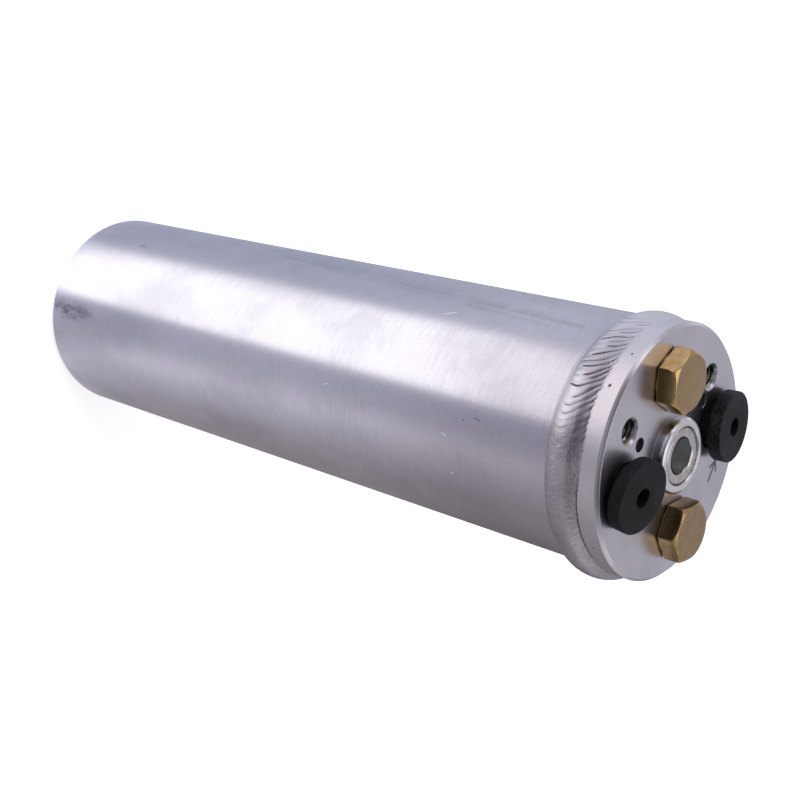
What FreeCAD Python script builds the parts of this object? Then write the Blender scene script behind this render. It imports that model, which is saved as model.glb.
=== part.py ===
"""Receiver drier for a refrigerant liquid line: a welded aluminium canister, its ported head and the
drying and filter stack inside. Millimetres, +Z up the canister's axis, origin in the middle of its foot."""
import FreeCAD, Part
import math
import os

import Sketcher
from FreeCAD import Placement, Rotation, Vector

# Every size that can be set by itself, in millimetres and degrees
SIZES = {
    # canister: one drawn cup with a flat, closed bottom
    "canister_diameter": 76.0,
    "canister_wall": 2.0,
    "canister_floor": 4.0,
    "canister_length": 249.0,
    "canister_corner_radius": 2.5,
    "canister_inner_corner_radius": 1.0,
    # head: turned end block, from its face down to the end of its spigot
    "flange_step": 0.6,
    "flange_thickness": 12.0,
    "spigot_length": 22.0,
    "spigot_clearance": 0.1,
    "spigot_lead": 1.2,
    "rim_chamfer": 1.0,
    "chamber_radius": 4.6,
    # weld between canister and head
    "weld_width": 11.4,
    "weld_crown": 2.6,
    "weld_root_depth": 1.2,
    "weld_bevel_reach": 3.5,
    "canister_bevel_reach": 6.4,
    "weld_offset": 0.7,
    "weld_heavy_side_angle": 240.0,
    # inlet and outlet ports, side by side on the face
    "port_offset": 24.65,
    "port_drop": 0.5,
    "port_radius": 7.5,
    "port_depth": 14.0,
    "port_chamfer": 0.8,
    "passage_radius": 3.0,
    "passage_angle": 42.0,
    "passage_landing": 11.0,
    "inlet_drilling_radius": 4.0,
    # tapped holes and locating-pin holes
    "tapped_offset": 21.8,
    "tapped_rise": 16.0,
    "tapped_depth": 16.0,
    "tapped_countersink": 8.4,
    "pin_hole_offset": 17.1,
    "pin_hole_rise": 10.0,
    "pin_hole_radius": 2.15,
    "pin_hole_depth": 8.0,
    # sight glass in the middle of the face
    "boss_radius": 11.5,
    "boss_height": 3.6,
    "lip_outer_round": 1.3,
    "lip_inner_round": 0.5,
    "lip_inner_radius": 8.8,
    "lip_thickness": 1.1,
    "glass_seat_radius": 9.2,
    "glass_seat_depth": 5.0,
    "glass_clearance": 0.05,
    "glass_ring_step": 0.35,
    "glass_ring_recess": 0.25,
    "glass_radius": 5.4,
    "glass_recess": 0.5,
    "glass_thickness": 5.0,
    "gasket_thickness": 1.0,
    # switch ports above and below the sight glass, and their plugs
    "upper_switch_rise": 23.5,
    "lower_switch_drop": 24.4,
    "switch_tap_radius": 5.25,
    "switch_port_depth": 15.0,
    "switch_gallery_radius": 1.5,
    "oring_pocket_radius": 7.4,
    "oring_pocket_depth": 1.7,
    "oring_section_radius": 0.82,
    "hexagon_across": 17.0,
    "hexagon_height": 6.0,
    "washer_face_radius": 7.9,
    "washer_face_height": 0.4,
    "crown_radius": 8.1,
    "crown_angle": 30.0,
    "shank_length": 11.0,
    "shank_clearance": 0.05,
    "shank_lead": 0.8,
    "upper_hexagon_turn": 20.0,
    "lower_hexagon_turn": 51.0,
    # rubber plugs in the two ports
    "rubber_disc_radius": 10.9,
    "rubber_disc_thickness": 4.0,
    "rubber_standoff": 2.0,
    "rubber_stem_radius": 7.15,
    "rubber_stem_grip": 5.0,
    "rubber_hole_radius": 3.0,
    "rubber_hole_depth": 8.0,
    "rubber_edge_round": 0.4,
    "inlet_plug_lean": 5.4,
    "inlet_plug_lean_way": 356.0,
    "outlet_plug_lean": 7.0,
    "outlet_plug_lean_way": 229.0,
    # pickup tube with its seal and strainer
    "tube_radius": 6.0,
    "tube_wall": 1.2,
    "tube_seat_depth": 9.0,
    "tube_clearance": 0.05,
    "tube_groove_height": 3.0,
    "tube_groove_width": 2.2,
    "tube_groove_depth": 1.7,
    "strainer_gap": 1.0,
    "strainer_radius": 9.0,
    "strainer_wall": 0.9,
    "strainer_basket_height": 11.0,
    "strainer_collar_height": 5.0,
    "strainer_slot_width": 2.6,
    "strainer_slot_height": 7.0,
    "strainer_slot_count": 8,
    # drying stack
    "stack_clearance": 0.25,
    "sheet_thickness": 1.2,
    "support_height": 62.0,
    "support_lead": 1.0,
    "plate_rim_height": 6.0,
    "perforation_radius": 2.4,
    "inner_ring_radius": 15.0,
    "inner_ring_count": 8,
    "outer_ring_radius": 26.0,
    "outer_ring_count": 14,
    "pad_thickness": 6.0,
    "desiccant_height": 100.0,
    "spring_radius": 16.0,
    "spring_wire_radius": 1.4,
    "spring_turns": 4.5,
}
HEXAGON_SIDES = 6
FULL_TURN = 360.0

doc = FreeCAD.newDocument("receiver_drier")
sheet = doc.addObject("Spreadsheet::Sheet", "sizes")


class Term:
    """A number that remembers the sheet formula it comes from, so that a size stays tied to the sheet."""

    def __init__(self, text, number):
        self.text = text
        self.number = number

    def __add__(self, other):
        other = term(other)
        return Term(f"({self.text} + {other.text})", self.number + other.number)

    def __sub__(self, other):
        other = term(other)
        return Term(f"({self.text} - {other.text})", self.number - other.number)

    def __mul__(self, other):
        other = term(other)
        return Term(f"({self.text} * {other.text})", self.number * other.number)

    def __truediv__(self, other):
        other = term(other)
        return Term(f"({self.text} / {other.text})", self.number / other.number)

    def __radd__(self, other):
        return term(other) + self

    def __rsub__(self, other):
        return term(other) - self

    def __rmul__(self, other):
        return term(other) * self

    def __neg__(self):
        return term(0) - self


def term(item):
    """Turn a plain number into a term, and leave a term as it is."""
    return item if isinstance(item, Term) else Term(repr(item), item)


def sine(angle):
    """Sine of an angle in degrees."""
    return Term(f"sin({angle.text} * 1 deg)", math.sin(math.radians(angle.number)))


def cosine(angle):
    """Cosine of an angle in degrees."""
    return Term(f"cos({angle.text} * 1 deg)", math.cos(math.radians(angle.number)))


def tangent(angle):
    """Tangent of an angle in degrees."""
    return Term(f"tan({angle.text} * 1 deg)", math.tan(math.radians(angle.number)))


def fill_sheet():
    """Write every size into the sheet, one row each, with its name as the alias."""
    for row, (name, number) in enumerate(SIZES.items(), 1):
        sheet.set(f"A{row}", name)
        sheet.set(f"B{row}", str(number))
        sheet.setAlias(f"B{row}", name)
    doc.recompute()


def size(name):
    """One size of the sheet as a term."""
    return Term(f"sizes.{name}", float(sheet.get(name)))


def bind(item, name, amount):
    """Tie one property of an object to a term."""
    item.setExpression(name, term(amount).text)


# Sketch and feature helpers

def new_body(label):
    """An empty body whose label is the name of its piece."""
    body = doc.addObject("PartDesign::Body", label)
    body.Label = label
    return body


def new_sketch(body, name, role="XZ_Plane", lift=None):
    """A sketch on one of the body's own planes, moved along the plane's normal by lift."""
    sketch = body.newObject("Sketcher::SketchObject", name)
    plane = next(item for item in body.Origin.OriginFeatures if item.Role == role)
    sketch.AttachmentSupport = (plane, [""])
    sketch.MapMode = "FlatFace"
    if lift is not None:
        bind(sketch, "AttachmentOffset.Base.z", lift)
    return sketch


def tie_point(sketch, line, end, across, along):
    """Hold one end of a line at a place given by two terms, measured from the sketch's origin."""
    for kind, amount in (("DistanceX", term(across)), ("DistanceY", term(along))):
        if amount.number == 0:
            axis = -2 if kind == "DistanceX" else -1
            sketch.addConstraint(Sketcher.Constraint("PointOnObject", line, end, axis))
            continue
        number = sketch.addConstraint(Sketcher.Constraint(kind, -1, 1, line, end, amount.number))
        bind(sketch, f"Constraints[{number}]", amount)


def draw_outline(sketch, corners):
    """Draw a closed outline of straight lines through corners given as pairs of terms."""
    places = [Vector(term(across).number, term(along).number, 0) for across, along in corners]
    first = sketch.GeometryCount
    count = len(corners)
    for start, end in zip(places, places[1:] + places[:1]):
        sketch.addGeometry(Part.LineSegment(start, end), False)
    for number in range(count):
        following = first + (number + 1) % count
        sketch.addConstraint(Sketcher.Constraint("Coincident", first + number, 2, following, 1))
    for number, (across, along) in enumerate(corners):
        tie_point(sketch, first + number, 1, across, along)


def draw_circle(sketch, across, along, radius):
    """Draw a circle with its centre and radius tied to terms."""
    centre = Vector(term(across).number, term(along).number, 0)
    number = sketch.addGeometry(Part.Circle(centre, Vector(0, 0, 1), term(radius).number), False)
    tie_point(sketch, number, 3, across, along)
    constraint = sketch.addConstraint(Sketcher.Constraint("Radius", number, term(radius).number))
    bind(sketch, f"Constraints[{constraint}]", radius)


def revolve(body, name, sketch, kind="PartDesign::Revolution", axis="V_Axis"):
    """Turn a sketch about an axis of its own, as a solid or, with Groove, as a cut."""
    feature = body.newObject(kind, name)
    feature.Profile = sketch
    feature.ReferenceAxis = (sketch, [axis])
    feature.Angle = FULL_TURN
    sketch.Visibility = False
    return feature


def turned_body(label, corners):
    """A body turned from one outline of radius and height pairs."""
    body = new_body(label)
    sketch = new_sketch(body, f"{label}_section")
    draw_outline(sketch, corners)
    revolve(body, f"{label}_turned", sketch)
    return body


def pad(body, name, sketch, length):
    """Raise a sketch into a solid."""
    feature = body.newObject("PartDesign::Pad", name)
    feature.Profile = sketch
    bind(feature, "Length", length)
    return feature


def pocket(body, name, sketch, depth):
    """Cut a sketch down into the body, and stop if nothing was cut."""
    doc.recompute()
    before = body.Shape.Volume
    feature = body.newObject("PartDesign::Pocket", name)
    feature.Profile = sketch
    bind(feature, "Length", depth)
    doc.recompute()
    if body.Shape.Volume >= before:
        raise RuntimeError(f"{name} cuts nothing")
    return feature


def round_edges(body, radius, height):
    """Names of the body's circular edges of one radius at one height."""
    doc.recompute()
    radius = term(radius).number
    height = term(height).number
    names = []
    for number, edge in enumerate(body.Tip.Shape.Edges, 1):
        curve = edge.Curve
        if curve.TypeId != "Part::GeomCircle" or abs(curve.Radius - radius) > 0.001:
            continue
        if abs(curve.Center.z - height) < 0.001:
            names.append(f"Edge{number}")
    if not names:
        raise RuntimeError(f"{body.Label} has no edge of radius {radius} at {height}")
    return names


def dress(body, kind, name, edges, amount):
    """Fillet or chamfer named edges of the body's last feature."""
    base = body.Tip
    feature = body.newObject(kind, name)
    feature.Base = (base, edges)
    bind(feature, "Radius" if kind == "PartDesign::Fillet" else "Size", amount)
    doc.recompute()
    return feature


def polar(body, name, feature, count):
    """Repeat a feature evenly about the body's Z axis."""
    pattern = body.newObject("PartDesign::PolarPattern", name)
    pattern.Originals = [feature]
    axis = next(item for item in body.Origin.OriginFeatures if item.Role == "Z_Axis")
    pattern.Axis = (axis, [""])
    pattern.Angle = FULL_TURN
    bind(pattern, "Occurrences", count)
    body.Tip = pattern
    return pattern


def place(item, across=0, along=0, up=0, turn=None):
    """Put a piece at three terms, turned about the vertical by a fourth."""
    if turn is not None:
        item.Placement = Placement(Vector(), Rotation(Vector(0, 0, 1), turn.number))
        bind(item, "Placement.Rotation.Angle", turn * 1.0)
    bind(item, "Placement.Base.x", across)
    bind(item, "Placement.Base.y", along)
    bind(item, "Placement.Base.z", up)


# Shared heights and radii

fill_sheet()
canister_radius = size("canister_diameter") / 2
canister_inner_radius = canister_radius - size("canister_wall")
flange_radius = canister_radius + size("flange_step")
face_height = size("canister_length") + size("flange_thickness")
head_length = size("flange_thickness") + size("spigot_length")
head_bottom = size("canister_length") - size("spigot_length")
tube_seat_radius = size("tube_radius") + size("tube_clearance")
shank_radius = size("switch_tap_radius") - size("shank_clearance")
stack_radius = canister_inner_radius - size("stack_clearance")
tube_hole_radius = size("tube_radius") + size("stack_clearance")
support_top = size("canister_floor") + size("support_height")
desiccant_bottom = support_top + size("pad_thickness")
upper_pad_bottom = desiccant_bottom + size("desiccant_height")
upper_plate_bottom = upper_pad_bottom + size("pad_thickness")
spring_bottom = upper_plate_bottom + size("sheet_thickness")


# Canister, head and weld

def make_canister():
    """The drawn cup, whose open edge falls away where the weld has fused into it."""
    corners = [
        (0, 0),
        (canister_radius, 0),
        (canister_radius, size("canister_length") - size("canister_bevel_reach")),
        (canister_radius - size("weld_root_depth"), size("canister_length")),
        (canister_inner_radius, size("canister_length")),
        (canister_inner_radius, size("canister_floor")),
        (0, size("canister_floor")),
    ]
    body = turned_body("canister", corners)
    outer = round_edges(body, canister_radius, 0)
    dress(body, "PartDesign::Fillet", "canister_corner", outer, size("canister_corner_radius"))
    inner = round_edges(body, canister_inner_radius, size("canister_floor"))
    dress(body, "PartDesign::Fillet", "canister_inner_corner", inner, size("canister_inner_corner_radius"))
    return body


def head_section():
    """Half section of the turned head, as radius and height above the spigot's end."""
    spigot_radius = canister_inner_radius - size("spigot_clearance")
    shoulder = size("spigot_length")
    groove_radius = tube_seat_radius + size("tube_groove_depth")
    groove_top = size("tube_groove_height") + size("tube_groove_width")
    boss_top = head_length + size("boss_height")
    lip_underside = boss_top - size("lip_thickness")
    glass_seat = head_length - size("glass_seat_depth")
    return [
        (tube_seat_radius, 0),
        (spigot_radius - size("spigot_lead"), 0),
        (spigot_radius, size("spigot_lead")),
        (spigot_radius, shoulder),
        (canister_radius - size("weld_root_depth"), shoulder),
        (flange_radius, shoulder + size("weld_bevel_reach")),
        (flange_radius, head_length),
        (size("boss_radius"), head_length),
        (size("boss_radius"), boss_top),
        (size("lip_inner_radius"), boss_top),
        (size("lip_inner_radius"), lip_underside),
        (size("glass_seat_radius"), lip_underside),
        (size("glass_seat_radius"), glass_seat),
        (size("chamber_radius"), glass_seat),
        (size("chamber_radius"), size("tube_seat_depth")),
        (tube_seat_radius, size("tube_seat_depth")),
        (tube_seat_radius, groove_top),
        (groove_radius, groove_top),
        (groove_radius, size("tube_groove_height")),
        (tube_seat_radius, size("tube_groove_height")),
    ]


def head_rounds(body):
    """Round the rolled lip and bevel the rim of the face."""
    boss_top = head_length + size("boss_height")
    outer = round_edges(body, size("boss_radius"), boss_top)
    dress(body, "PartDesign::Fillet", "lip_outer_round", outer, size("lip_outer_round"))
    inner = round_edges(body, size("lip_inner_radius"), boss_top)
    dress(body, "PartDesign::Fillet", "lip_inner_round", inner, size("lip_inner_round"))
    rim = round_edges(body, flange_radius, head_length)
    dress(body, "PartDesign::Chamfer", "rim_bevel", rim, size("rim_chamfer"))


def head_ports(body):
    """Sink both ports into the face, with bevelled mouths."""
    sketch = new_sketch(body, "port_circles", "XY_Plane", head_length)
    for side in (-1, 1):
        draw_circle(sketch, side * size("port_offset"), -size("port_drop"), size("port_radius"))
    pocket(body, "ports", sketch, size("port_depth"))
    mouths = round_edges(body, size("port_radius"), head_length)
    dress(body, "PartDesign::Chamfer", "port_mouths", mouths, size("port_chamfer"))


def head_passages(body):
    """Drill the inlet straight down, and the outlet slanting through its mouth to the middle chamber."""
    sketch = new_sketch(body, "inlet_circle", "XY_Plane", head_length)
    draw_circle(sketch, size("port_offset"), -size("port_drop"), size("inlet_drilling_radius"))
    pocket(body, "inlet_drilling", sketch, head_length)
    angle = size("passage_angle")
    rise = head_length - size("passage_landing")
    end_across = -rise / tangent(angle)
    step_across = size("passage_radius") * sine(angle)
    step_up = size("passage_radius") * cosine(angle)
    drill = new_sketch(body, "outlet_drill", "XZ_Plane", size("port_drop"))
    draw_outline(drill, [
        (0, size("passage_landing")),
        (end_across, head_length),
        (end_across + step_across, head_length + step_up),
        (step_across, size("passage_landing") + step_up),
    ])
    landing = Vector(0, size("passage_landing").number, 0)
    mouth = Vector(end_across.number, head_length.number, 0)
    drill_axis = drill.addGeometry(Part.LineSegment(landing, mouth), True)
    drill.addConstraint(Sketcher.Constraint("Coincident", drill_axis, 1, 0, 1))
    drill.addConstraint(Sketcher.Constraint("Coincident", drill_axis, 2, 0, 2))
    doc.recompute()
    before = body.Shape.Volume
    revolve(body, "outlet_passage", drill, "PartDesign::Groove", "Axis0")
    doc.recompute()
    if body.Shape.Volume >= before:
        raise RuntimeError("outlet_passage cuts nothing")


def thread_hole(body, name, centres, standard, thread, depth):
    """Tap holes of one standard thread down from the face."""
    sketch = new_sketch(body, f"{name}_circles", "XY_Plane", head_length)
    for across, along in centres:
        draw_circle(sketch, across, along, size("pin_hole_radius"))
    doc.recompute()
    hole = body.newObject("PartDesign::Hole", name)
    hole.Profile = sketch
    hole.Threaded = True
    hole.ThreadType = standard
    hole.ThreadSize = thread
    hole.DepthType = "Dimension"
    bind(hole, "Depth", depth)
    hole.DrillPoint = "Angled"
    return hole


def head_fastening_holes(body):
    """Two tapped holes and two locating-pin holes above the ports."""
    centres = [(side * size("tapped_offset"), size("tapped_rise")) for side in (-1, 1)]
    hole = thread_hole(body, "tapped_holes", centres, "ISOMetricProfile", "M8x1.25", size("tapped_depth"))
    hole.HoleCutType = "Countersink"
    bind(hole, "HoleCutDiameter", size("tapped_countersink"))
    hole.HoleCutCountersinkAngle = 90
    sketch = new_sketch(body, "pin_circles", "XY_Plane", head_length)
    for side in (-1, 1):
        draw_circle(sketch, side * size("pin_hole_offset"), size("pin_hole_rise"), size("pin_hole_radius"))
    pocket(body, "pin_holes", sketch, size("pin_hole_depth"))


def head_switch_ports(body):
    """Threaded switch ports: a seat for the seal, the tapping-size bore and a small gallery inwards."""
    steps = (
        ("oring_pockets", size("oring_pocket_radius"), size("oring_pocket_depth")),
        ("switch_bores", size("switch_tap_radius"), size("switch_port_depth")),
        ("switch_galleries", size("switch_gallery_radius"), head_length),
    )
    for name, radius, depth in steps:
        sketch = new_sketch(body, f"{name}_circles", "XY_Plane", head_length)
        for along in (size("upper_switch_rise"), -size("lower_switch_drop")):
            draw_circle(sketch, 0, along, radius)
        pocket(body, name, sketch, depth)


def make_head():
    """The machined end block with its ports, holes, galleries and sight glass boss."""
    body = turned_body("head", head_section())
    head_rounds(body)
    head_ports(body)
    head_passages(body)
    head_fastening_holes(body)
    head_switch_ports(body)
    place(body, up=head_bottom)
    return body


def make_weld_bead():
    """The weld, fused into canister and head, and heavier on one side than on the other.

    It is turned about an axis that lies towards its heavy side. Then the walls are cut out of it, with the
    bevels where they have melted."""
    width = size("weld_width")
    crown = size("weld_crown")
    root = size("weld_root_depth")
    offset = size("weld_offset")
    middle = width / 2
    arc_radius = (crown * crown + width * width / 4) / (2 * crown)
    arc_centre = canister_radius + crown - arc_radius + offset
    inside = canister_radius - 2 * root
    body = new_body("weld_bead")
    section = new_sketch(body, "weld_section")
    across = (inside - arc_centre).number
    half = math.sqrt(arc_radius.number ** 2 - across ** 2)
    low = Vector(inside.number, middle.number - half, 0)
    top = Vector((arc_centre + arc_radius).number, middle.number, 0)
    high = Vector(inside.number, middle.number + half, 0)
    arc = section.addGeometry(Part.Arc(low, top, high), False)
    chord = section.addGeometry(Part.LineSegment(low, high), False)
    section.addConstraint(Sketcher.Constraint("Coincident", arc, 1, chord, 1))
    section.addConstraint(Sketcher.Constraint("Coincident", arc, 2, chord, 2))
    section.addConstraint(Sketcher.Constraint("Vertical", chord))
    number = section.addConstraint(Sketcher.Constraint("DistanceX", -1, 1, chord, 1, inside.number))
    bind(section, f"Constraints[{number}]", inside)
    number = section.addConstraint(Sketcher.Constraint("Radius", arc, arc_radius.number))
    bind(section, f"Constraints[{number}]", arc_radius)
    tie_point(section, arc, 3, arc_centre, middle)
    foot = Vector(offset.number, 0, 0)
    tip = Vector(offset.number, width.number, 0)
    axis = section.addGeometry(Part.LineSegment(foot, tip), True)
    tie_point(section, axis, 1, offset, 0)
    tie_point(section, axis, 2, offset, width)
    revolve(body, "weld_turned", section, axis="Axis0")
    walls = new_sketch(body, "weld_walls")
    draw_outline(walls, [
        (0, -middle),
        (canister_radius, -middle),
        (canister_radius, middle - size("canister_bevel_reach")),
        (canister_radius - root, middle),
        (flange_radius, middle + size("weld_bevel_reach")),
        (flange_radius, width + middle),
        (0, width + middle),
    ])
    revolve(body, "weld_seat", walls, "PartDesign::Groove")
    place(body, up=size("canister_length") - width / 2, turn=size("weld_heavy_side_angle"))
    return body


# Sight glass

def make_sight_glass():
    """The seal, the metal ring that the lip holds down, and the glass fused into the ring."""
    seat = face_height - size("glass_seat_depth")
    hold = size("boss_height") - size("lip_thickness")
    ring_radius = size("glass_seat_radius") - size("glass_clearance")
    gasket = turned_body("sight_glass_gasket", [
        (size("glass_radius"), 0),
        (ring_radius, 0),
        (ring_radius, size("gasket_thickness")),
        (size("glass_radius"), size("gasket_thickness")),
    ])
    place(gasket, up=seat)
    shoulder = size("glass_seat_depth") + hold - size("gasket_thickness")
    top = shoulder + size("lip_thickness") - size("glass_ring_recess")
    neck = size("lip_inner_radius") - size("glass_ring_step")
    ring = turned_body("sight_glass_ring", [
        (size("glass_radius"), 0),
        (ring_radius, 0),
        (ring_radius, shoulder),
        (neck, shoulder),
        (neck, top),
        (size("glass_radius"), top),
    ])
    place(ring, up=seat + size("gasket_thickness"))
    lens = turned_body("sight_glass_lens", [
        (0, 0),
        (size("glass_radius") - size("glass_clearance"), 0),
        (size("glass_radius") - size("glass_clearance"), size("glass_thickness")),
        (0, size("glass_thickness")),
    ])
    lens_top = seat + size("gasket_thickness") + top - size("glass_recess")
    place(lens, up=lens_top - size("glass_thickness"))
    return [gasket, ring, lens]


# Switch port plugs and their seals

def make_switch_plug(label, along, turn):
    """A turned and tapped-in plug with a chamfered hexagon on a thin washer face."""
    washer_top = size("shank_length") + size("washer_face_height")
    top = washer_top + size("hexagon_height")
    body = turned_body(label, [
        (0, 0),
        (shank_radius - size("shank_lead"), 0),
        (shank_radius, size("shank_lead")),
        (shank_radius, size("shank_length")),
        (size("washer_face_radius"), size("shank_length")),
        (size("washer_face_radius"), washer_top),
        (0, washer_top),
    ])
    hexagon = new_sketch(body, f"{label}_hexagon", "XY_Plane", washer_top)
    corner_radius = size("hexagon_across") / (2 * math.cos(math.pi / HEXAGON_SIDES))
    corners = []
    for number in range(HEXAGON_SIDES):
        angle = math.radians(FULL_TURN / HEXAGON_SIDES * number)
        share_x = round(math.cos(angle), 9)
        share_y = round(math.sin(angle), 9)
        corners.append((corner_radius * share_x, corner_radius * share_y))
    draw_outline(hexagon, corners)
    pad(body, f"{label}_head", hexagon, size("hexagon_height"))
    beyond = corner_radius + size("washer_face_height")
    chamfer = new_sketch(body, f"{label}_chamfer")
    draw_outline(chamfer, [
        (size("crown_radius"), top),
        (beyond, top),
        (beyond, top - (beyond - size("crown_radius")) * tangent(size("crown_angle"))),
    ])
    revolve(body, f"{label}_crown", chamfer, "PartDesign::Groove")
    place(body, 0, along, face_height - size("shank_length"), turn)
    return body


def make_torus(label, radius, section, along, up):
    """A seal ring of round section, lying flat."""
    ring = doc.addObject("Part::Torus", label)
    ring.Label = label
    bind(ring, "Radius1", radius)
    bind(ring, "Radius2", section)
    place(ring, 0, along, up)
    return ring


def make_switch_closures():
    """A plug and a seal ring in each switch port."""
    upper = size("upper_switch_rise")
    lower = -size("lower_switch_drop")
    section = size("oring_section_radius")
    radius = (shank_radius + size("oring_pocket_radius")) / 2
    up = face_height - size("oring_pocket_depth") / 2
    return [
        make_switch_plug("switch_port_plug_upper", upper, size("upper_hexagon_turn")),
        make_switch_plug("switch_port_plug_lower", lower, size("lower_hexagon_turn")),
        make_torus("switch_port_oring_upper", radius, section, upper, up),
        make_torus("switch_port_oring_lower", radius, section, lower, up),
    ]


# Rubber plugs

def make_rubber_plug(label, side, lean, way):
    """A moulded plug that leans a little in its port, with a blind hole in its thick disc."""
    grip = size("rubber_stem_grip")
    disc_rear = grip + size("rubber_standoff")
    disc_front = disc_rear + size("rubber_disc_thickness")
    body = turned_body(label, [
        (0, 0),
        (size("rubber_stem_radius"), 0),
        (size("rubber_stem_radius"), disc_rear),
        (size("rubber_disc_radius"), disc_rear),
        (size("rubber_disc_radius"), disc_front),
        (size("rubber_hole_radius"), disc_front),
        (size("rubber_hole_radius"), disc_front - size("rubber_hole_depth")),
        (0, disc_front - size("rubber_hole_depth")),
    ])
    edges = round_edges(body, size("rubber_disc_radius"), disc_rear)
    edges += round_edges(body, size("rubber_disc_radius"), disc_front)
    edges += round_edges(body, size("rubber_stem_radius"), 0)
    dress(body, "PartDesign::Fillet", f"{label}_round", edges, size("rubber_edge_round"))
    axis = Vector(-sine(way).number, cosine(way).number, 0)
    body.Placement = Placement(Vector(), Rotation(axis, lean.number))
    half = grip / 2
    bind(body, "Placement.Rotation.Angle", lean * 1.0)
    bind(body, "Placement.Rotation.Axis.x", -sine(way))
    bind(body, "Placement.Rotation.Axis.y", cosine(way))
    bind(body, "Placement.Base.x", side * size("port_offset") - half * sine(lean) * cosine(way))
    bind(body, "Placement.Base.y", -size("port_drop") - half * sine(lean) * sine(way))
    bind(body, "Placement.Base.z", face_height - half - half * cosine(lean))
    return body


def make_port_closures():
    """The inlet plug on the +X side and the outlet plug on the -X side."""
    return [
        make_rubber_plug("inlet_port_plug", 1, size("inlet_plug_lean"), size("inlet_plug_lean_way")),
        make_rubber_plug("outlet_port_plug", -1, size("outlet_plug_lean"), size("outlet_plug_lean_way")),
    ]


# Pickup tube, seal and strainer

def make_pickup_tube():
    """The tube from the strainer up into its seat in the head, and the seal ring round it."""
    bottom = size("canister_floor") + size("strainer_gap") + size("strainer_basket_height")
    top = head_bottom + size("tube_seat_depth")
    bore = size("tube_radius") - size("tube_wall")
    tube = turned_body("pickup_tube", [
        (bore, 0),
        (size("tube_radius"), 0),
        (size("tube_radius"), top - bottom),
        (bore, top - bottom),
    ])
    place(tube, up=bottom)
    ring_radius = (size("tube_radius") + tube_seat_radius + size("tube_groove_depth")) / 2
    up = head_bottom + size("tube_groove_height") + size("tube_groove_width") / 2
    seal = make_torus("pickup_tube_oring", ring_radius, size("oring_section_radius"), 0, up)
    return [tube, seal]


def make_strainer():
    """A slotted cap pushed over the foot of the tube."""
    radius = size("strainer_radius")
    wall = size("strainer_wall")
    basket = size("strainer_basket_height")
    top = basket + size("strainer_collar_height")
    collar = tube_seat_radius + wall
    bore = size("tube_radius") - size("tube_wall")
    body = turned_body("pickup_strainer", [
        (0, 0),
        (radius, 0),
        (radius, basket),
        (collar, basket),
        (collar, top),
        (tube_seat_radius, top),
        (tube_seat_radius, basket),
        (bore, basket),
        (bore, basket - wall),
        (radius - wall, basket - wall),
        (radius - wall, wall),
        (0, wall),
    ])
    slot = new_sketch(body, "strainer_slot")
    half = size("strainer_slot_width") / 2
    low = (basket - size("strainer_slot_height")) / 2
    high = (basket + size("strainer_slot_height")) / 2
    draw_outline(slot, [(-half, low), (half, low), (half, high), (-half, high)])
    cut = pocket(body, "strainer_slot_cut", slot, radius + wall)
    polar(body, "strainer_slots", cut, size("strainer_slot_count"))
    place(body, up=size("canister_floor") + size("strainer_gap"))
    return body


# Drying stack

def perforate(body, height, depth):
    """Punch two rings of holes through a plate, down from a height."""
    rings = (
        ("inner", size("inner_ring_radius"), size("inner_ring_count")),
        ("outer", size("outer_ring_radius"), size("outer_ring_count")),
    )
    for name, ring_radius, count in rings:
        sketch = new_sketch(body, f"{body.Label}_{name}_circle", "XY_Plane", height)
        draw_circle(sketch, ring_radius, 0, size("perforation_radius"))
        cut = pocket(body, f"{body.Label}_{name}_hole", sketch, depth)
        polar(body, f"{body.Label}_{name}_holes", cut, count)


def make_support_cup():
    """A perforated cup, upside down on the canister's floor, that keeps the bed above the sump."""
    sheet_metal = size("sheet_thickness")
    height = size("support_height")
    lead = size("support_lead")
    body = turned_body("support_cup", [
        (stack_radius - sheet_metal, 0),
        (stack_radius - lead, 0),
        (stack_radius, lead),
        (stack_radius, height),
        (tube_hole_radius, height),
        (tube_hole_radius, height - sheet_metal),
        (stack_radius - sheet_metal, height - sheet_metal),
    ])
    perforate(body, height, 2 * sheet_metal)
    place(body, up=size("canister_floor"))
    return body


def make_upper_plate():
    """A perforated plate with an upturned rim, on which the spring presses."""
    sheet_metal = size("sheet_thickness")
    rim = size("plate_rim_height")
    body = turned_body("upper_perforated_plate", [
        (tube_hole_radius, 0),
        (stack_radius, 0),
        (stack_radius, rim),
        (stack_radius - sheet_metal, rim),
        (stack_radius - sheet_metal, sheet_metal),
        (tube_hole_radius, sheet_metal),
    ])
    perforate(body, sheet_metal, 2 * sheet_metal)
    place(body, up=upper_plate_bottom)
    return body


def make_annulus(label, thickness, up):
    """A ring of filling that fits between the tube and the canister wall."""
    body = turned_body(label, [
        (tube_hole_radius, 0),
        (stack_radius, 0),
        (stack_radius, thickness),
        (tube_hole_radius, thickness),
    ])
    place(body, up=up)
    return body


def make_spring():
    """A compression spring with ends ground flat, from the upper plate to the underside of the head."""
    space = head_bottom - spring_bottom
    coil = new_body("spring_coil")
    section = new_sketch(coil, "spring_wire")
    draw_circle(section, size("spring_radius"), 0, size("spring_wire_radius"))
    helix = coil.newObject("PartDesign::AdditiveHelix", "spring_helix")
    helix.Profile = section
    helix.ReferenceAxis = (section, ["V_Axis"])
    helix.Mode = "height-turns-growth"
    bind(helix, "Height", space)
    bind(helix, "Turns", size("spring_turns"))
    grinding = doc.addObject("Part::Cylinder", "spring_grinding")
    bind(grinding, "Radius", size("spring_radius") * 2)
    bind(grinding, "Height", space)
    spring = doc.addObject("Part::Common", "hold_down_spring")
    spring.Label = "hold_down_spring"
    spring.Base = coil
    spring.Tool = grinding
    place(spring, up=spring_bottom)
    return spring


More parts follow.
